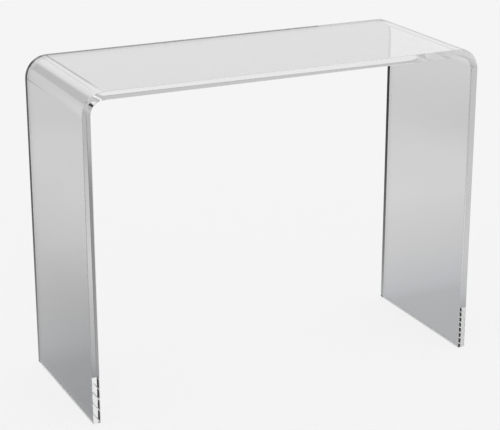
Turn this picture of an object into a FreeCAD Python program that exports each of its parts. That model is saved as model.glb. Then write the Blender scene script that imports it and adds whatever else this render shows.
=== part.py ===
"""Clear acrylic waterfall console table.

One thick acrylic sheet is heat-bent twice through a right angle, so the top and both legs are a
single unbroken piece. Each leg stands on two clear stick-on bumpers, one near each end of its foot.

Frame: millimetres, +Z up, +X along the length, -Y is the front. The origin is on the floor, under
the middle of the top.
"""

import FreeCAD, Part

import math
import os

# Driving dimensions, in millimetres
overall_length = 980.0
overall_depth = 375.0
overall_height = 760.0
sheet_thickness = 19.0
inner_bend_radius = 30.0
edge_bevel = 0.5
foot_bevel = 1.5

bumper_diameter = 12.0
bumper_height = 1.8
bumper_foot_diameter = 10.4
bumper_rim_round = 0.4
bumper_inset = 25.0

adhesive_thickness = 0.2
adhesive_margin = 0.5

# Sizes worked out from the driving dimensions
outer_bend_radius = inner_bend_radius + sheet_thickness
half_length = overall_length / 2
half_depth = overall_depth / 2
sheet_foot_z = bumper_height + adhesive_thickness
leg_end_z = sheet_foot_z + foot_bevel
leg_middle_x = half_length - sheet_thickness / 2
bumper_y = half_depth - bumper_inset
adhesive_radius = bumper_diameter / 2 - adhesive_margin

UP = FreeCAD.Vector(0, 0, 1)
POSITION_TOLERANCE = 1e-6


def profile_point(x, z):
    """A point of the sheet's profile, which is drawn in the plane of the front edges."""
    return FreeCAD.Vector(x, -half_depth, z)


def quarter_arc(side, radius):
    """One bend of the profile, from its leg (side -1 left, 1 right) up to the top."""
    centre_x = side * (half_length - outer_bend_radius)
    centre_z = overall_height - outer_bend_radius
    diagonal = radius * math.sqrt(0.5)
    return Part.Arc(
        profile_point(centre_x + side * radius, centre_z),
        profile_point(centre_x + side * diagonal, centre_z + diagonal),
        profile_point(centre_x, centre_z + radius),
    )


def skin(setback):
    """Edges of one face of the sheet, from leg to leg, this far inside the outer face."""
    radius = outer_bend_radius - setback
    leg_x = half_length - setback
    top_z = overall_height - setback
    bend_x = half_length - outer_bend_radius
    bend_z = overall_height - outer_bend_radius
    return [
        Part.LineSegment(profile_point(-leg_x, leg_end_z), profile_point(-leg_x, bend_z)),
        quarter_arc(-1, radius),
        Part.LineSegment(profile_point(-bend_x, top_z), profile_point(bend_x, top_z)),
        quarter_arc(1, radius),
        Part.LineSegment(profile_point(leg_x, bend_z), profile_point(leg_x, leg_end_z)),
    ]


def foot_end(side):
    """Edges that close the profile under one leg: its end with a bevel on either side."""
    outer_x = side * half_length
    inner_x = side * (half_length - sheet_thickness)
    bevel_x = side * foot_bevel
    points = [
        profile_point(outer_x, leg_end_z),
        profile_point(outer_x - bevel_x, sheet_foot_z),
        profile_point(inner_x + bevel_x, sheet_foot_z),
        profile_point(inner_x, leg_end_z),
    ]
    return [Part.LineSegment(start, end) for start, end in zip(points, points[1:])]


def is_front_or_rear(edge):
    """True for the sheet's sawn and polished edges at the front and at the rear."""
    return edge.BoundBox.YLength < POSITION_TOLERANCE


def bent_sheet():
    """The acrylic sheet: its profile run through the depth, with its front and rear edges bevelled."""
    curves = skin(0) + skin(sheet_thickness) + foot_end(-1) + foot_end(1)
    outline = Part.Wire(Part.__sortEdges__([curve.toShape() for curve in curves]))
    sheet = Part.Face(outline).extrude(FreeCAD.Vector(0, overall_depth, 0))
    return sheet.makeChamfer(edge_bevel, [edge for edge in sheet.Edges if is_front_or_rear(edge)])


def bumper(x, y):
    """A clear tapered bumper standing on the floor, its rim rounded where it meets the floor."""
    foot = FreeCAD.Vector(x, y, 0)
    body = Part.makeCone(bumper_foot_diameter / 2, bumper_diameter / 2, bumper_height, foot, UP)
    floor_rim = [edge for edge in body.Edges if edge.BoundBox.ZMax < POSITION_TOLERANCE]
    return body.makeFillet(bumper_rim_round, floor_rim)


def adhesive(x, y):
    """The adhesive disc between a bumper and the leg end above it."""
    return Part.makeCylinder(adhesive_radius, adhesive_thickness, FreeCAD.Vector(x, y, bumper_height), UP)


def table():
    """Every piece of the table by name."""
    pieces = {"bent_sheet": bent_sheet()}
    for row, y in (("front", -bumper_y), ("rear", bumper_y)):
        for side, x in (("left", -leg_middle_x), ("right", leg_middle_x)):
            pieces[f"bumper_{row}_{side}"] = bumper(x, y)
            pieces[f"adhesive_{row}_{side}"] = adhesive(x, y)
    return pieces


os.makedirs("parts", exist_ok=True)
for name, shape in table().items():
    shape.exportStep(f"parts/{name}.step")
    box = shape.BoundBox
    extents = f"{box.XLength:.2f} x {box.YLength:.2f} x {box.ZLength:.2f} mm"
    print(f"{name}: {len(shape.Solids)} solid, {extents}, {shape.Volume:.1f} mm3, valid {shape.isValid()}")
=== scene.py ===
# %% [markdown]
# # A clear acrylic waterfall console table
# One thick sheet of clear acrylic is bent down at both ends, so that the top and both legs are a
# single piece. It has no colour of its own: all that the eye sees in it is the room, dimmed by the
# flat faces, mirrored in the bends and cut into bars by the polished edges. So this lesson spends
# its time on three things: an exact shape, a true clear material, and a studio worth seeing in it.

import math

import bpy
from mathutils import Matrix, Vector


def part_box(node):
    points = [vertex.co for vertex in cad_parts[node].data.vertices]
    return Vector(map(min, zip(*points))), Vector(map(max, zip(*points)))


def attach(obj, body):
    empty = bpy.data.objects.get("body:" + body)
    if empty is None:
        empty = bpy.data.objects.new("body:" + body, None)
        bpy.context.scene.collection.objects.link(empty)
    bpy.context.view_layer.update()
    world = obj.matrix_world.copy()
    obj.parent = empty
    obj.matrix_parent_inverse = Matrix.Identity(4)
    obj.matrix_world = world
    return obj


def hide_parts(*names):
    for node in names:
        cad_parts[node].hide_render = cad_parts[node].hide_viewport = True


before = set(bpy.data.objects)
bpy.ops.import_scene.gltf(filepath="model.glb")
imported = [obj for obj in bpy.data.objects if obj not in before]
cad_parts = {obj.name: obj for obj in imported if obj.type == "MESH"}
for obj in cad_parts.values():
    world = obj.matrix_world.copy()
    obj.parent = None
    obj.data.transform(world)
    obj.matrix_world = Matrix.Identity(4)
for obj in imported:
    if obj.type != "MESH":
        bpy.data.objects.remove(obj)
scene = bpy.context.scene
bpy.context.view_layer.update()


# %% [markdown]
# ## Two helpers
# Every node tree below, for shapes, finishes and the studio alike, is built by one small function.
# A list fills a node's sockets in their own order, so a Map Range takes a value, the two ends of
# its range and the two results. A dict fills them by name or number. Colours are written as sRGB
# hex values, as a paint chart has them, and a second function turns them into the linear values
# that the shaders count in.

# %% Helpers
SMOOTH = {"interpolation_type": "SMOOTHSTEP"}


def node(tree, kind, inputs=(), **settings):
    """Adds a node and fills its sockets with values, with sockets or with other nodes' first outputs."""
    made = tree.nodes.new(kind)
    for name, value in settings.items():
        setattr(made, name, value)
    for key, value in inputs.items() if isinstance(inputs, dict) else enumerate(inputs):
        if isinstance(value, bpy.types.Node):
            value = value.outputs[0]
        if isinstance(value, bpy.types.NodeSocket):
            tree.links.new(value, made.inputs[key])
        else:
            made.inputs[key].default_value = value
    return made


def linear(hex_colour):
    """An sRGB hex colour as linear red, green, blue and alpha."""
    channels = [int(hex_colour[i:i + 2], 16) / 255 for i in (1, 3, 5)]
    curved = [c / 12.92 if c <= 0.04045 else ((c + 0.055) / 1.055) ** 2.4 for c in channels]
    return (*curved, 1.0)


# %% [markdown]
# ## The camera
# The table was seen with a long lens from the front left, and from well above its top. The place and
# the two angles were found by matching the table's corners, and then the number of dashes at its
# feet. A tilted camera draws the legs a touch closer together towards the floor. A lens shift would
# straighten them, but the camera keeps its shift when it goes round the table, so it is left at zero.

# %% The camera
CAMERA_PLACE = (-1.552, -3.174, 1.587)
CAMERA_TURN = 25.91
CAMERA_DIP = 19.11
CAMERA_LENS = 113.0
CAMERA_SENSOR = 36.0

camera_data = bpy.data.cameras.new("camera")
camera_data.lens = CAMERA_LENS
camera_data.sensor_width = CAMERA_SENSOR
camera = bpy.data.objects.new("camera", camera_data)
camera.location = CAMERA_PLACE
camera.rotation_euler = (math.radians(90 - CAMERA_DIP), 0, -math.radians(CAMERA_TURN))
scene.collection.objects.link(camera)
scene.camera = camera
print("camera:", CAMERA_LENS, "mm lens,", round(camera.location.length, 2), "m from the origin")

# %% [markdown]
# ## Sizes that the pieces share
# The frame already holds the CAD model, so the outer sizes are read from it. Only what a box can't
# tell is written here: the sheet's thickness, the radius inside its bends and the small bevel that
# takes the sharpness off every sawn edge. The two long edges under each leg have a wider one.

# %% Shared sizes
SHEET_THICKNESS = 0.019
INNER_BEND_RADIUS = 0.030
EDGE_BEVEL = 0.0005
FOOT_BEVEL = 0.0015

sheet_low, sheet_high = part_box("bent_sheet")
outer_bend_radius = INNER_BEND_RADIUS + SHEET_THICKNESS
leg_middle_x = sheet_high.x - SHEET_THICKNESS / 2
bend_start_x = sheet_high.x - outer_bend_radius
bend_end_z = sheet_high.z - outer_bend_radius
straight_leg = bend_end_z - sheet_low.z
print("flat top, mm:", round(2000 * bend_start_x), " straight leg, mm:", round(1000 * straight_leg))


# %% [markdown]
# ## Clear cast acrylic
# The sheet is acrylic that was cast between two sheets of glass, so it is clear right through and
# as smooth as the glass was. A plain glass shader would already do the work of bending the view.
# Four faint things tell a real sheet from a perfect one: the long waves left by the casting, the
# fingermarks and hairlines of wiping, and a dull line where the heater's strip ended, along both
# sides of each bend. That line is painted into the sheet's colour as a grey band: partly the real
# haze of the mark and partly painted shade, fading to the front and weak on the right bend. All are
# kept so weak that the sheet still reads as clear. Hairlines are finer than a pixel here, so they
# are drawn broader and further apart than they are.

# %% The acrylic's faint marks
HAIRLINE_LENGTH = 0.300
HAIRLINE_SPACING = 0.006
HAIRLINE_SLANT = 4.0
HAIRLINE_DETAIL = 2.0
HAIRLINE_GRAIN = (0.64, 0.74)
HAIRLINE_ROUGHNESS = 0.012
SMUDGE_SIZE = 0.090
SMUDGE_DETAIL = 3.0
SMUDGE_GRAIN = (0.5, 0.8)
SMUDGE_ROUGHNESS = 0.004
WITNESS_WIDTH_TOP = 0.0060
WITNESS_WIDTH_LEG = 0.0025
WITNESS_SHADE_ON_RIGHT = 0.15
WITNESS_SHADE_FADE_TOP = (-0.20, -0.08)
WITNESS_SHADE_FADE_LEG = (0.0, sheet_high.y)
SKIN_REACH = 0.0025


def bend_witness_lines(tree, coordinates):
    """A real witness line with painted shade: up to 1 on the outer skin where a bend meets a flat,
    fading to the front and to the right.
    """
    xyz = node(tree, "ShaderNodeSeparateXYZ", [coordinates]).outputs
    out = node(tree, "ShaderNodeMath", [xyz["X"]], operation="ABSOLUTE")
    shaded_lines = []
    for across, place, width, up, skin, fade in (
        (out, bend_start_x, WITNESS_WIDTH_TOP, xyz["Z"], sheet_high.z, WITNESS_SHADE_FADE_TOP),
        (xyz["Z"], bend_end_z, WITNESS_WIDTH_LEG, out, sheet_high.x, WITNESS_SHADE_FADE_LEG),
    ):
        offset = node(tree, "ShaderNodeMath", [across, place], operation="SUBTRACT")
        away = node(tree, "ShaderNodeMath", [offset], operation="ABSOLUTE")
        line = node(tree, "ShaderNodeMapRange", [away, 0.0, width, 1.0, 0.0], **SMOOTH)
        outside = node(tree, "ShaderNodeMath", [up, skin - SKIN_REACH], operation="GREATER_THAN")
        rear = node(tree, "ShaderNodeMapRange", [xyz["Y"], *fade, 0.0, 1.0], **SMOOTH)
        on_skin = node(tree, "ShaderNodeMath", [line, outside], operation="MULTIPLY")
        shaded_lines.append(node(tree, "ShaderNodeMath", [on_skin, rear], operation="MULTIPLY"))
    both = node(tree, "ShaderNodeMath", shaded_lines, operation="MAXIMUM")
    ends = [sheet_high.x, sheet_low.x, WITNESS_SHADE_ON_RIGHT, 1.0]
    left = node(tree, "ShaderNodeMapRange", [xyz["X"], *ends], **SMOOTH)
    return node(tree, "ShaderNodeMath", [both, left], operation="MULTIPLY")


def wiping_marks(tree, coordinates, smudges):
    """The roughness that fingermarks and hairlines give."""
    slant = (0, 0, math.radians(HAIRLINE_SLANT))
    scale = (1 / HAIRLINE_LENGTH, 1 / HAIRLINE_SPACING, 1 / HAIRLINE_LENGTH)
    wipe = {"Vector": coordinates, "Rotation": slant, "Scale": scale}
    wiped = node(tree, "ShaderNodeMapping", wipe)
    noise = {"Vector": wiped, "Scale": 1.0, "Detail": HAIRLINE_DETAIL}
    grain = node(tree, "ShaderNodeTexNoise", noise)
    scratches = [grain, *HAIRLINE_GRAIN, 0.0, HAIRLINE_ROUGHNESS]
    scratched = node(tree, "ShaderNodeMapRange", scratches, **SMOOTH)
    haze = [smudges, *SMUDGE_GRAIN, 0.0, SMUDGE_ROUGHNESS]
    hazy = node(tree, "ShaderNodeMapRange", haze, **SMOOTH)
    return node(tree, "ShaderNodeMath", [hazy, scratched], operation="ADD")


# %% Clear cast acrylic
ACRYLIC_IOR = 1.49
ACRYLIC_CLEARNESS = 1.0
CASTING_WAVE = 0.120
CASTING_WAVE_HEIGHT = 0.000006
ACRYLIC_CLEAR = "#fefefe"
ACRYLIC_SMUDGED = "#fcfcfc"
ACRYLIC_WITNESS_PAINTED_SHADE = "#8c8c8c"


def clear_plastic(name, ior, clearness):
    """A new clear material with its tree, its shader and the coordinates for its patterns."""
    material = bpy.data.materials.new(name)
    material.use_nodes = True
    tree = material.node_tree
    shader = tree.nodes["Principled BSDF"]
    shader.inputs["IOR"].default_value = ior
    shader.inputs["Transmission Weight"].default_value = clearness
    return material, tree, shader, node(tree, "ShaderNodeTexCoord").outputs["Object"]


def clear_cast_acrylic():
    # Cast acrylic with flame-polished edges: no colour, mirror-smooth, and it bends light almost
    # as much as window glass, so it gives the eye only the room and a few faint marks.
    started = clear_plastic("clear_cast_acrylic", ACRYLIC_IOR, ACRYLIC_CLEARNESS)
    material, tree, shader, coordinates = started
    noise = {"Vector": coordinates, "Scale": 1 / SMUDGE_SIZE, "Detail": SMUDGE_DETAIL}
    smudges = node(tree, "ShaderNodeTexNoise", noise)
    roughness = wiping_marks(tree, coordinates, smudges)
    tree.links.new(roughness.outputs[0], shader.inputs["Roughness"])
    tints = {0: smudges, 6: linear(ACRYLIC_CLEAR), 7: linear(ACRYLIC_SMUDGED)}
    clear = node(tree, "ShaderNodeMix", tints, data_type="RGBA").outputs[2]
    # The witness lines grey the sheet's colour: painted shade over the real haze of the mark.
    shaded_lines = {0: bend_witness_lines(tree, coordinates), 6: clear, 7: linear(ACRYLIC_WITNESS_PAINTED_SHADE)}
    marked = node(tree, "ShaderNodeMix", shaded_lines, data_type="RGBA").outputs[2]
    tree.links.new(marked, shader.inputs["Base Color"])
    swell = {"Vector": coordinates, "Scale": 1 / CASTING_WAVE, "Detail": 0.0}
    waves = node(tree, "ShaderNodeTexNoise", swell)
    bump = node(tree, "ShaderNodeBump", {"Height": waves, "Distance": CASTING_WAVE_HEIGHT})
    tree.links.new(bump.outputs[0], shader.inputs["Normal"])
    return material


acrylic = clear_cast_acrylic()
print("acrylic:", len(acrylic.node_tree.nodes), "nodes")


# %% [markdown]
# ## Shapes from Geometry Nodes
# Both shapes below follow a rule, so both are Geometry Nodes trees with named sizes. A tree marks its
# sharp edges with a bevel weight, and ends by making its instances real and giving the faces their
# material. The helper that runs one sets each input by its identifier, rounds the marked edges with
# a Bevel, keeps the big faces flat to the eye with weighted normals, and then keeps the result as a
# plain mesh with no modifiers left.

# %% Tree helpers
BEVEL_FROM_ANGLE = 40.0
WHOLE_BEVEL = 1.0
LARGE_FACES_FIRST = 100


def new_tree(name, sizes):
    """An empty Geometry Nodes tree with these named inputs, and a mesh to give back."""
    tree = bpy.data.node_groups.new(name, "GeometryNodeTree")
    for label, kind in sizes.items():
        tree.interface.new_socket(label, in_out="INPUT", socket_type="NodeSocket" + kind)
    tree.interface.new_socket("Geometry", in_out="OUTPUT", socket_type="NodeSocketGeometry")
    return tree, node(tree, "NodeGroupInput").outputs


def end_tree(tree, geometry, bevel_share, material):
    """Closes a tree: sharp edges are marked, instances become real and the material goes on."""
    angle = node(tree, "GeometryNodeInputMeshEdgeAngle")
    least = math.radians(BEVEL_FROM_ANGLE)
    sharp = node(tree, "ShaderNodeMath", [angle, least], operation="GREATER_THAN")
    weight = node(tree, "ShaderNodeMath", [sharp, bevel_share], operation="MULTIPLY")
    mark = {"Geometry": geometry, "Name": "bevel_weight_edge", "Value": weight}
    marked = node(tree, "GeometryNodeStoreNamedAttribute", mark, domain="EDGE")
    smoothed = node(tree, "GeometryNodeSetShadeSmooth", [marked])
    real = node(tree, "GeometryNodeRealizeInstances", [smoothed])
    painted = node(tree, "GeometryNodeSetMaterial", {"Geometry": real, "Material": material})
    node(tree, "NodeGroupOutput", [painted])


def realise(name, tree, sizes, bevel_width, bevel_steps):
    """Runs a tree with these sizes, rounds its marked edges and keeps the result as a plain mesh."""
    piece = bpy.data.objects.new(name, bpy.data.meshes.new(name))
    scene.collection.objects.link(piece)
    shape = piece.modifiers.new(tree.name, "NODES")
    shape.node_group = tree
    for item in tree.interface.items_tree:
        if item.in_out == "INPUT":
            shape[item.identifier] = sizes[item.name]
    bevel = piece.modifiers.new("eased_edges", "BEVEL")
    bevel.width = bevel_width
    bevel.segments = bevel_steps
    bevel.limit_method = "WEIGHT"
    bevel.use_clamp_overlap = False
    normals = piece.modifiers.new("flat_faces_stay_flat", "WEIGHTED_NORMAL")
    normals.weight = LARGE_FACES_FIRST
    evaluated = piece.evaluated_get(bpy.context.evaluated_depsgraph_get())
    made = bpy.data.meshes.new_from_object(evaluated)
    piece.modifiers.clear()
    piece.data = made
    made.name = name
    size = [round(1000 * d, 1) for d in piece.dimensions]
    print(name, "has", len(made.polygons), "faces and is, mm:", size)
    return piece


# %% [markdown]
# ## The bent sheet
# On the bench this is a flat sheet laid over a hot wire until a strip of it goes soft, then folded
# to a right angle and left to cool, once at each end. A cube with two bevelled edges would give two
# exact quarter circles. But a strip is hottest along its middle, so a real bend starts and ends
# gently, and in a clear sheet that shows: with a sudden start, light is trapped along a dark line.
# So the tree draws the sheet's middle line through four corners, fillets it and eases it. A section
# of the sheet, thickness by depth, is swept along the line and then drawn in at the bends.

# %% The bent sheet's tree
FILLET_STEPS = 64


def bent_sheet_tree():
    tree, given = new_tree(
        "bent_sheet",
        {
            "Leg Middle X": "Float",
            "Foot Z": "Float",
            "Top Middle Z": "Float",
            "Depth": "Float",
            "Thickness": "Float",
            "Bend Radius": "Float",
            "Bend Step": "Float",
            "Blur Passes": "Int",
            "Flat Half Length": "Float",
            "Flat Leg Top": "Float",
            "Bend Centre": "Vector",
            "Draw In Share": "Float",
            "Section Cuts": "Int",
            "Edge Bevel Share": "Float",
            "Material": "Material",
        },
    )
    right = given["Leg Middle X"]
    left = node(tree, "ShaderNodeMath", [right, -1.0], operation="MULTIPLY")
    foot = given["Foot Z"]
    top = given["Top Middle Z"]
    corners = [(left, foot), (left, top), (right, top), (right, foot)]
    route = node(tree, "GeometryNodeIndexSwitch", data_type="VECTOR")
    while len(route.index_switch_items) < len(corners):
        route.index_switch_items.new()
    tree.links.new(node(tree, "GeometryNodeInputIndex").outputs[0], route.inputs["Index"])
    for number, (x, z) in enumerate(corners):
        corner = node(tree, "ShaderNodeCombineXYZ", {"X": x, "Z": z})
        tree.links.new(corner.outputs[0], route.inputs[str(number)])
    points = node(tree, "GeometryNodePoints", {"Count": len(corners), "Position": route})
    line = node(tree, "GeometryNodePointsToCurves", {"Points": points})
    fillets = {"Curve": line, "Count": FILLET_STEPS, "Radius": given["Bend Radius"]}
    filleted = node(tree, "GeometryNodeFilletCurve", fillets, mode="POLY")
    bent = ease_bends(tree, filleted, given)
    sizes = {"Width": given["Thickness"], "Height": given["Depth"]}
    section = node(tree, "GeometryNodeCurvePrimitiveQuadrilateral", sizes, mode="RECTANGLE")
    cuts = {"Curve": section, "Cuts": given["Section Cuts"]}
    fine = node(tree, "GeometryNodeSubdivideCurve", cuts)
    sweep = {"Curve": bent, "Profile Curve": fine, "Fill Caps": True}
    swept = node(tree, "GeometryNodeCurveToMesh", sweep)
    drawn = draw_in_bends(tree, swept, given)
    end_tree(tree, drawn, foot_bevel_share(tree, given), given["Material"])
    return tree


# %% [markdown]
# To ease a bend, a blur moves each point of the line towards its neighbours, pass after pass, as
# heat spreads. The two ends, at the feet, stay where they are. Afterwards a point is deleted if it
# lies on a straight run, because a long flat face needs no rings across it.

# %% How the bends are eased
def ease_bends(tree, curve, given):
    step = {"Curve": curve, "Length": given["Bend Step"]}
    fine = node(tree, "GeometryNodeResampleCurve", step, mode="LENGTH")
    ends = node(tree, "GeometryNodeCurveEndpointSelection", {"Start Size": 1, "End Size": 1})
    between = node(tree, "FunctionNodeBooleanMath", [ends], operation="NOT")
    place = node(tree, "GeometryNodeInputPosition")
    passes = {"Iterations": given["Blur Passes"]}
    blurred = node(tree, "GeometryNodeBlurAttribute", passes, data_type="FLOAT_VECTOR")
    tree.links.new(place.outputs[0], next(s for s in blurred.inputs if s.type == "VECTOR"))
    moved = next(s for s in blurred.outputs if s.type == "VECTOR")
    ease = {"Geometry": fine, "Selection": between, "Position": moved}
    eased = node(tree, "GeometryNodeSetPosition", ease)
    xyz = node(tree, "ShaderNodeSeparateXYZ", [place]).outputs
    out = node(tree, "ShaderNodeMath", [xyz["X"]], operation="ABSOLUTE")
    on_top = node(tree, "ShaderNodeMath", [out, given["Flat Half Length"]], operation="LESS_THAN")
    on_leg = node(tree, "ShaderNodeMath", [xyz["Z"], given["Flat Leg Top"]], operation="LESS_THAN")
    flat = node(tree, "FunctionNodeBooleanMath", [on_top, on_leg], operation="OR")
    spare = node(tree, "FunctionNodeBooleanMath", [flat, between], operation="AND")
    thin = {"Geometry": eased, "Selection": spare}
    return node(tree, "GeometryNodeDeleteGeometry", thin, domain="POINT")


# %% [markdown]
# Folding stretches the outer skin, and the soft plastic draws in sideways there, as a rubber band
# gets thinner when it is pulled. So the polished edge leans a little in the middle of each bend.
# That lean is about two millimetres, but it turns the mirrors inside the edge and makes the corner
# sparkle. A point is drawn in by how far it lies from the bend's inside, times how near it is to
# the middle of the turn, where both parts of its direction from the bend's centre are equal and
# their product is a half.

# %% How the bends draw in
MIDDLE_OF_TURN = 0.5


def draw_in_bends(tree, mesh, given):
    place = node(tree, "GeometryNodeInputPosition")
    folded = node(tree, "ShaderNodeVectorMath", [place], operation="ABSOLUTE")
    past = node(tree, "ShaderNodeVectorMath", [folded, given["Bend Centre"]], operation="SUBTRACT")
    in_section = node(tree, "ShaderNodeVectorMath", [past, (1, 0, 1)], operation="MULTIPLY")
    from_centre = node(tree, "ShaderNodeVectorMath", [in_section, (0, 0, 0)], operation="MAXIMUM")
    radius = node(tree, "ShaderNodeVectorMath", [from_centre], operation="LENGTH").outputs["Value"]
    direction = node(tree, "ShaderNodeVectorMath", [from_centre], operation="NORMALIZE")
    xyz = node(tree, "ShaderNodeSeparateXYZ", [direction]).outputs
    turn = node(tree, "ShaderNodeMath", [xyz["X"], xyz["Z"]], operation="MULTIPLY")
    in_turn = node(tree, "ShaderNodeMapRange", [turn, 0.0, MIDDLE_OF_TURN, 0.0, 1.0], **SMOOTH)
    half = node(tree, "ShaderNodeMath", [given["Thickness"], 0.5], operation="MULTIPLY")
    inside = node(tree, "ShaderNodeMath", [given["Bend Radius"], half], operation="SUBTRACT")
    outside = node(tree, "ShaderNodeMath", [given["Bend Radius"], half], operation="ADD")
    pull = [radius, inside, outside, 0.0, given["Draw In Share"]]
    stretch = node(tree, "ShaderNodeMapRange", pull)
    drawn = node(tree, "ShaderNodeMath", [stretch, in_turn], operation="MULTIPLY")
    kept = node(tree, "ShaderNodeMath", [1.0, drawn], operation="SUBTRACT")
    share = node(tree, "ShaderNodeCombineXYZ", [1.0, kept, 1.0])
    moved = node(tree, "ShaderNodeVectorMath", [place, share], operation="MULTIPLY")
    return node(tree, "GeometryNodeSetPosition", {"Geometry": mesh, "Position": moved})


# %% [markdown]
# A sawn leg end is eased more than the other edges, because it is what chips when the table is
# dragged. In a clear sheet such a bevel can be seen from far away. Light that runs to and fro between
# the leg's two faces meets it at even steps along the foot, and there it breaks the dark line into
# dashes. An edge under a leg runs along the depth when its two ends have the same X.

# %% How the leg ends are eased
FOOT_EDGE_TOLERANCE = 0.0001


def foot_bevel_share(tree, given):
    """The whole bevel for the long edges under the legs, and a share of it for all other edges."""
    ends = node(tree, "GeometryNodeInputMeshEdgeVertices").outputs
    start = ends["Position 1"]
    edge = node(tree, "ShaderNodeVectorMath", [ends["Position 2"], start], operation="SUBTRACT")
    run = node(tree, "ShaderNodeSeparateXYZ", [edge]).outputs
    across = node(tree, "ShaderNodeMath", [run["X"]], operation="ABSOLUTE")
    height = node(tree, "ShaderNodeSeparateXYZ", [start]).outputs["Z"]
    above = node(tree, "ShaderNodeMath", [height, given["Foot Z"]], operation="SUBTRACT")
    other = node(tree, "ShaderNodeMath", [across, above], operation="MAXIMUM")
    is_other = node(tree, "ShaderNodeMath", [other, FOOT_EDGE_TOLERANCE], operation="GREATER_THAN")
    return node(tree, "ShaderNodeMix", {0: is_other, 2: WHOLE_BEVEL, 3: given["Edge Bevel Share"]})


# %% Make the sheet
BEND_STEP = 0.001
BEND_EASE = 0.006
PASSES_PER_STEP_SQUARED = 1.5
EASE_REACH = 4 * BEND_EASE
DRAW_IN = 0.0022
SECTION_CUTS = 9
EDGE_BEVEL_STEPS = 2

sheet = realise(
    "acrylic_sheet",
    bent_sheet_tree(),
    {
        "Leg Middle X": leg_middle_x,
        "Foot Z": sheet_low.z,
        "Top Middle Z": sheet_high.z - SHEET_THICKNESS / 2,
        "Depth": sheet_high.y - sheet_low.y,
        "Thickness": SHEET_THICKNESS,
        "Bend Radius": INNER_BEND_RADIUS + SHEET_THICKNESS / 2,
        "Bend Step": BEND_STEP,
        "Blur Passes": round(PASSES_PER_STEP_SQUARED * (BEND_EASE / BEND_STEP) ** 2),
        "Flat Half Length": bend_start_x - EASE_REACH,
        "Flat Leg Top": bend_end_z - EASE_REACH,
        "Bend Centre": (bend_start_x, 0.0, bend_end_z),
        "Draw In Share": DRAW_IN / sheet_high.y,
        "Section Cuts": SECTION_CUTS,
        "Edge Bevel Share": EDGE_BEVEL / FOOT_BEVEL,
        "Material": acrylic,
    },
    FOOT_BEVEL,
    EDGE_BEVEL_STEPS,
)
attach(sheet, "root")
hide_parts("bent_sheet")


# %% [markdown]
# ## Bumpers and their adhesive
# Polished leg ends would scratch a floor and be scratched by it, so each stands on two clear
# stick-on bumpers: a low tapered button of soft polyurethane with a thin disc of clear adhesive on
# its back. Four cylinders placed by hand would do, but all eight discs are the same idea at other
# sizes, so one tree makes a disc, puts it on the four corners of a grid and serves both pieces.

# %% Clear polyurethane
POLYURETHANE_IOR = 1.5
POLYURETHANE_CLEARNESS = 0.75
BUMPER_GRAIN = 0.0012
BUMPER_GRAIN_DEPTH = BUMPER_GRAIN / 20
BUMPER_GRAIN_DETAIL = 3.0
BUMPER_GRAIN_RANGE = (0.3, 0.7)
BUMPER_ROUGHNESS = (0.22, 0.4)
POLYURETHANE_CLEAR = "#f4f3ea"
POLYURETHANE_AGED = "#e6e5dc"


def clear_polyurethane():
    # Soft cast polyurethane: water-clear when new and a little yellow with age, with a skin that
    # is satin from the mould, so it glows faintly instead of mirroring. The mould's grain is too
    # fine to show, so it is drawn coarser.
    started = clear_plastic("clear_cast_polyurethane", POLYURETHANE_IOR, POLYURETHANE_CLEARNESS)
    material, tree, shader, coordinates = started
    noise = {"Vector": coordinates, "Scale": 1 / BUMPER_GRAIN, "Detail": BUMPER_GRAIN_DETAIL}
    grain = node(tree, "ShaderNodeTexNoise", noise)
    tints = {0: grain, 6: linear(POLYURETHANE_CLEAR), 7: linear(POLYURETHANE_AGED)}
    tint = node(tree, "ShaderNodeMix", tints, data_type="RGBA").outputs[2]
    tree.links.new(tint, shader.inputs["Base Color"])
    rough = [grain, *BUMPER_GRAIN_RANGE, *BUMPER_ROUGHNESS]
    satin = node(tree, "ShaderNodeMapRange", rough, **SMOOTH)
    tree.links.new(satin.outputs[0], shader.inputs["Roughness"])
    bump = node(tree, "ShaderNodeBump", {"Height": grain, "Distance": BUMPER_GRAIN_DEPTH})
    tree.links.new(bump.outputs[0], shader.inputs["Normal"])
    return material


polyurethane = clear_polyurethane()
print("polyurethane:", len(polyurethane.node_tree.nodes), "nodes")

# %% Acrylic adhesive
ADHESIVE_IOR = 1.47
ADHESIVE_CLEARNESS = 0.6
BUBBLE_SPACING = 0.0015
BUBBLE_EDGE = (0.15, 0.3)
ADHESIVE_ROUGHNESS = (0.55, 0.3)
ADHESIVE_CLEAR = "#efeee6"
ADHESIVE_MILKY = "#fbfbf9"


def acrylic_adhesive():
    # Pressure-sensitive acrylic adhesive: a clear film that looks slightly milky, because tiny
    # bubbles of air stay trapped in it when the bumper is pressed on.
    started = clear_plastic("acrylic_adhesive_film", ADHESIVE_IOR, ADHESIVE_CLEARNESS)
    material, tree, shader, coordinates = started
    cells = {"Vector": coordinates, "Scale": 1 / BUBBLE_SPACING}
    bubbles = node(tree, "ShaderNodeTexVoronoi", cells)
    milk = node(tree, "ShaderNodeMapRange", [bubbles, *BUBBLE_EDGE, 1.0, 0.0], **SMOOTH)
    tints = {0: milk, 6: linear(ADHESIVE_CLEAR), 7: linear(ADHESIVE_MILKY)}
    tint = node(tree, "ShaderNodeMix", tints, data_type="RGBA").outputs[2]
    tree.links.new(tint, shader.inputs["Base Color"])
    matt = node(tree, "ShaderNodeMapRange", [bubbles, *BUBBLE_EDGE, *ADHESIVE_ROUGHNESS], **SMOOTH)
    tree.links.new(matt.outputs[0], shader.inputs["Roughness"])
    return material


adhesive = acrylic_adhesive()
print("adhesive:", len(adhesive.node_tree.nodes), "nodes")


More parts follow.
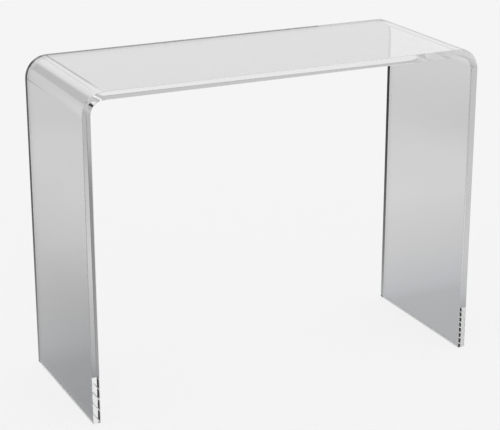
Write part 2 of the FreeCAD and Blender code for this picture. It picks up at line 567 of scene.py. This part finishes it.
# %% The disc tree
def stick_on_discs_tree():
    tree, given = new_tree(
        "stick_on_discs",
        {
            "Lower Radius": "Float",
            "Upper Radius": "Float",
            "Lower Z": "Float",
            "Height": "Float",
            "Spacing X": "Float",
            "Spacing Y": "Float",
            "Sides": "Int",
            "Material": "Material",
        },
    )
    disc = node(
        tree,
        "GeometryNodeMeshCone",
        {
            "Vertices": given["Sides"],
            "Radius Bottom": given["Lower Radius"],
            "Radius Top": given["Upper Radius"],
            "Depth": given["Height"],
        },
    )
    spacing = {"Size X": given["Spacing X"], "Size Y": given["Spacing Y"]}
    corners = node(tree, "GeometryNodeMeshGrid", {**spacing, "Vertices X": 2, "Vertices Y": 2})
    lift = node(tree, "ShaderNodeCombineXYZ", {"Z": given["Lower Z"]})
    feet = node(tree, "GeometryNodeSetPosition", {"Geometry": corners, "Offset": lift})
    discs = node(tree, "GeometryNodeInstanceOnPoints", {"Points": feet, "Instance": disc})
    end_tree(tree, discs, WHOLE_BEVEL, given["Material"])
    return tree


# %% Make the bumpers and the adhesive discs
FEET = [f"{row}_{side}" for row in ("front", "rear") for side in ("left", "right")]
DISC_SIDES = 48
BUMPER_TAPER = 0.0008
BUMPER_RIM_ROUND = 0.0004
BUMPER_RIM_STEPS = 3
ADHESIVE_EDGE_ROUND = 0.00004
PRESSED_GAP = 0.00004

disc_tree = stick_on_discs_tree()
bumper_low, bumper_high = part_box("bumper_rear_right")
adhesive_low, adhesive_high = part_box("adhesive_rear_right")
foot_middle = (bumper_low + bumper_high) / 2
bumper_radius = (bumper_high.x - bumper_low.x) / 2
adhesive_radius = (adhesive_high.x - adhesive_low.x) / 2
shared = {"Spacing X": 2 * foot_middle.x, "Spacing Y": 2 * foot_middle.y, "Sides": DISC_SIDES}

bumpers = realise(
    "floor_bumpers",
    disc_tree,
    {
        "Lower Radius": bumper_radius - BUMPER_TAPER,
        "Upper Radius": bumper_radius,
        "Lower Z": bumper_low.z,
        "Height": bumper_high.z - bumper_low.z,
        "Material": polyurethane,
        **shared,
    },
    BUMPER_RIM_ROUND,
    BUMPER_RIM_STEPS,
)
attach(bumpers, "root")
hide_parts(*(f"bumper_{foot}" for foot in FEET))

adhesive_discs = realise(
    "adhesive_discs",
    disc_tree,
    {
        "Lower Radius": adhesive_radius,
        "Upper Radius": adhesive_radius,
        "Lower Z": adhesive_low.z + PRESSED_GAP,
        "Height": adhesive_high.z - adhesive_low.z - 2 * PRESSED_GAP,
        "Material": adhesive,
        **shared,
    },
    ADHESIVE_EDGE_ROUND,
    EDGE_BEVEL_STEPS,
)
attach(adhesive_discs, "root")
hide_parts(*(f"adhesive_{foot}" for foot in FEET))


# %% [markdown]
# ## The floor
# The floor is plain and pale, and a clear table shows it everywhere. Seen past the table it is the
# background's own grey, with the table's faint shadow. Seen through the sheet it is shaded and a
# little cool under and beside the table, lighter on the right and behind, and lightest in a pool of
# light a metre and a half behind the table. Far to the right, seen through two sheets in a row, it
# is nearly white. In the sheet's mirrors it falls off to the left and to the front, where no lamp
# reaches it, and a nearer pool lights it behind the right leg. Further behind it has greys of its
# own there, and in a mirror behind another sheet it has one grey all over. The Light Path node tells
# these ways of seeing apart.

# %% The floor's greys
SHADED_HALF_SIZE = (0.95, 0.15, 0.0)
LEFT_GREYS = {0.0: 0.433, 0.06: 0.46, 0.18: 0.499, 0.31: 0.522, 0.44: 0.556, 0.59: 0.604, 0.8: 0.65}
RIGHT_GREYS = {0.0: 0.486, 0.06: 0.525, 0.18: 0.552, 0.31: 0.566, 0.59: 0.607, 0.75: 0.635, 1.1: 0.648}
RIGHT_FAR_GREYS = {1.5: 0.622, 2.1: 0.622, 2.4: 0.64}
LEFT_TO_RIGHT_X = (0.0, 0.5)
MIRRORED_LEFT_X = (-0.35, -0.75)
MIRRORED_RIGHT_SHARE = 0.95
MIRRORED_LEFT_SHARE = 0.46
FRONT_FADE_X = (0.50, 0.65)
FRONT_FADE_FROM_Y = 0.27
FRONT_FADE_REACH = (0.52, 0.35)
MIRRORED_POOL = ((0.32, 0.80, 0.0), (0.72, 0.25), 0.13)
FAR_X = (0.2, 0.8)
FAR_Y = (1.45, 2.15)
FAR_LEFT = 0.51
FAR_RIGHT = 0.59


def distance_from_shade(tree, place):
    """How far a point of the floor lies outside the shaded part, which is under and beside the table."""
    folded = node(tree, "ShaderNodeVectorMath", [place], operation="ABSOLUTE")
    past = node(tree, "ShaderNodeVectorMath", [folded, SHADED_HALF_SIZE], operation="SUBTRACT")
    outside = node(tree, "ShaderNodeVectorMath", [past, (0, 0, 0)], operation="MAXIMUM")
    return node(tree, "ShaderNodeVectorMath", [outside], operation="LENGTH").outputs["Value"]


def greys_along(tree, value, greys):
    """A grey for a value that runs from zero, even from one stop to the next."""
    places = sorted(greys)
    reach = places[-1]
    share = node(tree, "ShaderNodeMath", [value, reach], operation="DIVIDE")
    ramp = node(tree, "ShaderNodeValToRGB", [share])
    stops = ramp.color_ramp.elements
    for place in places[1:-1]:
        stops.new(place / reach)
    for stop, place in zip(stops, places):
        stop.color = (greys[place], greys[place], greys[place], 1.0)
    return ramp


def light_pool(tree, place, centre, edge, gain):
    """The grey that a round pool of light adds, full inside its inner edge and none outside."""
    away = node(tree, "ShaderNodeVectorMath", [place, centre], operation="DISTANCE").outputs["Value"]
    return node(tree, "ShaderNodeMapRange", [away, *edge, 0.0, gain], **SMOOTH)


def mirrored_floor(tree, place, near_grey):
    """The floor's grey in the sheet's mirrors."""
    xyz = node(tree, "ShaderNodeSeparateXYZ", [place]).outputs
    shares = (MIRRORED_RIGHT_SHARE, MIRRORED_LEFT_SHARE)
    left = node(tree, "ShaderNodeMapRange", [xyz["X"], *MIRRORED_LEFT_X, *shares], **SMOOTH)
    behind = node(tree, "ShaderNodeMath", [xyz["Y"], FRONT_FADE_FROM_Y], operation="SUBTRACT")
    in_front = node(tree, "ShaderNodeMath", [behind, 0.0], operation="MINIMUM")
    reach = node(tree, "ShaderNodeMapRange", [xyz["X"], *FRONT_FADE_X, *FRONT_FADE_REACH], **SMOOTH)
    fades = node(tree, "ShaderNodeMath", [in_front, reach], operation="DIVIDE")
    front = node(tree, "ShaderNodeMath", [fades], operation="EXPONENT")
    lit = node(tree, "ShaderNodeMath", [left, front], operation="MULTIPLY")
    dimmed = node(tree, "ShaderNodeMath", [near_grey, lit], operation="MULTIPLY")
    pool = light_pool(tree, place, *MIRRORED_POOL)
    near = node(tree, "ShaderNodeMath", [dimmed, pool], operation="ADD")
    far = node(tree, "ShaderNodeMapRange", [xyz["X"], *FAR_X, FAR_LEFT, FAR_RIGHT], **SMOOTH)
    to_far = node(tree, "ShaderNodeMapRange", [xyz["Y"], *FAR_Y, 0.0, 1.0], **SMOOTH)
    return node(tree, "ShaderNodeMix", {0: to_far, 2: near, 3: far})


# %% The floor
BACKGROUND = linear("#f5f5f5")
WHITE = linear("#ffffff")
FLOOR_SIZE = 16.0
FLOOR_DROP = 0.0002
SHADOW_SHARE = 0.12
COOL_SHADE = linear("#fafcff")
COOL_REACH = (0.35, 0.12)
LIGHT_POOL = ((0.02, 1.52, 0.0), (0.90, 0.0), 0.125)
FAR_RIGHT_X = (1.0, 1.6)
FAR_THROUGH_TWO_SHEETS = 0.875
MIRRORED_BEHIND_SHEET = 0.53
A_MIRROR = 0.5
A_SECOND_SHEET = 2.5


def pale_floor():
    material = bpy.data.materials.new("pale_floor")
    material.use_nodes = True
    tree = material.node_tree
    tree.nodes.clear()
    path = node(tree, "ShaderNodeLightPath").outputs
    place = node(tree, "ShaderNodeNewGeometry").outputs["Position"]
    distance = distance_from_shade(tree, place)
    left = greys_along(tree, distance, LEFT_GREYS)
    right = greys_along(tree, distance, {**RIGHT_GREYS, **RIGHT_FAR_GREYS})
    x = node(tree, "ShaderNodeSeparateXYZ", [place]).outputs["X"]
    to_right = node(tree, "ShaderNodeMapRange", [x, *LEFT_TO_RIGHT_X, 0.0, 1.0], **SMOOTH)
    near_grey = node(tree, "ShaderNodeMix", {0: to_right, 2: left, 3: right})
    in_shade = node(tree, "ShaderNodeMapRange", [distance, *COOL_REACH, 0.0, 1.0], **SMOOTH)
    tints = {0: in_shade, 6: WHITE, 7: COOL_SHADE}
    tint = node(tree, "ShaderNodeMix", tints, data_type="RGBA").outputs[2]
    pool = light_pool(tree, place, *LIGHT_POOL)
    through = node(tree, "ShaderNodeMath", [near_grey, pool], operation="ADD")
    mirrored = mirrored_floor(tree, place, near_grey)
    by_mirror = node(tree, "ShaderNodeMath", [path["Glossy Depth"], A_MIRROR], operation="GREATER_THAN")
    one_sheet = node(tree, "ShaderNodeMix", {0: by_mirror, 2: through, 3: mirrored})
    far_right = node(tree, "ShaderNodeMapRange", [x, *FAR_RIGHT_X, 0.0, 1.0], **SMOOTH)
    through_two = node(tree, "ShaderNodeMix", {0: far_right, 2: through, 3: FAR_THROUGH_TWO_SHEETS})
    two_sheets = node(tree, "ShaderNodeMix", {0: by_mirror, 2: through_two, 3: MIRRORED_BEHIND_SHEET})
    crossed = path["Transmission Depth"]
    by_second = node(tree, "ShaderNodeMath", [crossed, A_SECOND_SHEET], operation="GREATER_THAN")
    in_table = node(tree, "ShaderNodeMix", {0: by_second, 2: one_sheet, 3: two_sheets})
    seen_in_table = node(tree, "ShaderNodeEmission", {"Color": tint, "Strength": in_table})
    glow = node(tree, "ShaderNodeEmission", {"Color": BACKGROUND})
    matt = node(tree, "ShaderNodeBsdfDiffuse", {"Color": BACKGROUND})
    seen_past_it = node(tree, "ShaderNodeMixShader", [SHADOW_SHARE, glow, matt])
    surface = node(tree, "ShaderNodeMixShader", [path["Is Camera Ray"], seen_in_table, seen_past_it])
    node(tree, "ShaderNodeOutputMaterial", [surface])
    return material


half = FLOOR_SIZE / 2
floor_corners = [(x * half, y * half, -FLOOR_DROP) for x, y in ((-1, -1), (1, -1), (1, 1), (-1, 1))]
floor_mesh = bpy.data.meshes.new("floor")
floor_mesh.from_pydata(floor_corners, [], [(0, 1, 2, 3)])
floor_mesh.materials.append(pale_floor())
floor = bpy.data.objects.new("floor", floor_mesh)
scene.collection.objects.link(floor)
print("floor:", FLOOR_SIZE, "m square")

# %% [markdown]
# ## The studio
# A photographer lights clear plastic with what it mirrors: a large pale wall behind the table and
# to its right gives the light bands in the bends and edges, and a dark flag on the left draws the
# black dashes that make the edges readable. The wall's left part has a brighter strip along it, and
# its right part is dimmer at its foot and higher up. The room's front is dim, on the right only low
# down and almost black above, and its ceiling is white. The world here is such a room, by the
# direction of a ray. Only rays that the sheet has mirrored see the walls and the flag, and rays
# through it see a pale horizon. The camera itself sees the plain background.

# %% The studio
WALL_LEFT_GREYS = {0.0: 1.0, 0.20: 0.88, 0.25: 0.87, 0.30: 1.0, 0.40: 1.0, 0.43: 0.86, 1.0: 0.86}
WALL_RIGHT_GREYS = {0.0: 0.76, 0.15: 0.87, 0.20: 0.88, 0.25: 0.87, 0.38: 0.66, 1.0: 0.66}
WALL_MIDDLE_X = (0.30, 0.40)
DARK_FLAG = 0.04
BELOW_FLAG = 0.50
FRONT_LEFT = 0.16
FRONT_RIGHT = 0.50
FRONT_RIGHT_HIGH = 0.03
SKY_LINE = 0.70
FLAG_FOOT_Z = (0.18, 0.13)
FLAG_TO_WALL_X = (-0.21, -0.05)
TO_FRONT_Y = (0.0, -0.4)
FRONT_Z = (0.27, 0.33)
CEILING_Z = (0.45, 0.7)
SKY_Z = (0.0, 0.4)


def mirrored_room(tree, xyz):
    """How bright the room is in the sheet's mirrors, by direction."""
    flag = node(tree, "ShaderNodeMapRange", [xyz["Z"], *FLAG_FOOT_Z, DARK_FLAG, BELOW_FLAG], **SMOOTH)
    wall_left = greys_along(tree, xyz["Z"], WALL_LEFT_GREYS)
    wall_right = greys_along(tree, xyz["Z"], WALL_RIGHT_GREYS)
    to_right = node(tree, "ShaderNodeMapRange", [xyz["X"], *WALL_MIDDLE_X, 0.0, 1.0], **SMOOTH)
    wall = node(tree, "ShaderNodeMix", {0: to_right, 2: wall_left, 3: wall_right})
    to_wall = node(tree, "ShaderNodeMapRange", [xyz["X"], *FLAG_TO_WALL_X, 0.0, 1.0], **SMOOTH)
    rear = node(tree, "ShaderNodeMix", {0: to_wall, 2: flag, 3: wall})
    heights = (*FRONT_Z, FRONT_RIGHT, FRONT_RIGHT_HIGH)
    front_right = node(tree, "ShaderNodeMapRange", [xyz["Z"], *heights], **SMOOTH)
    front = node(tree, "ShaderNodeMix", {0: to_wall, 2: FRONT_LEFT, 3: front_right})
    to_front = node(tree, "ShaderNodeMapRange", [xyz["Y"], *TO_FRONT_Y, 0.0, 1.0], **SMOOTH)
    walls = node(tree, "ShaderNodeMix", {0: to_front, 2: rear, 3: front})
    overhead = node(tree, "ShaderNodeMapRange", [xyz["Z"], *CEILING_Z, 0.0, 1.0], **SMOOTH)
    return node(tree, "ShaderNodeMix", {0: overhead, 2: walls, 3: 1.0})


world = bpy.data.worlds.new("studio")
scene.world = world
world.use_nodes = True
tree = world.node_tree
tree.nodes.clear()
path = node(tree, "ShaderNodeLightPath").outputs
ray = node(tree, "ShaderNodeTexCoord").outputs["Generated"]
xyz = node(tree, "ShaderNodeSeparateXYZ", [ray]).outputs
straight = node(tree, "ShaderNodeMapRange", [xyz["Z"], *SKY_Z, SKY_LINE, 1.0], **SMOOTH)
by_mirror = node(tree, "ShaderNodeMath", [path["Glossy Depth"], A_MIRROR], operation="GREATER_THAN")
level = node(tree, "ShaderNodeMix", {0: by_mirror, 2: straight, 3: mirrored_room(tree, xyz)})
room = node(tree, "ShaderNodeBackground", {"Color": WHITE, "Strength": level})
plain = node(tree, "ShaderNodeBackground", {"Color": BACKGROUND})
seen = node(tree, "ShaderNodeMixShader", [path["Is Camera Ray"], room, plain])
node(tree, "ShaderNodeOutputWorld", [seen])
print("studio:", len(tree.nodes), "nodes")

# %% [markdown]
# ## Render settings
# Light that is caught between two polished faces can bounce hundreds of times before it gets out at
# an edge. With Blender's usual limit of twelve it would be dropped and leave black marks, so the
# limits are raised.

# %% Render settings
LIGHT_BOUNCES = 512

scene.view_settings.view_transform = "Standard"
scene.cycles.max_bounces = LIGHT_BOUNCES
scene.cycles.glossy_bounces = LIGHT_BOUNCES
scene.cycles.transmission_bounces = LIGHT_BOUNCES
print("bounces:", LIGHT_BOUNCES)
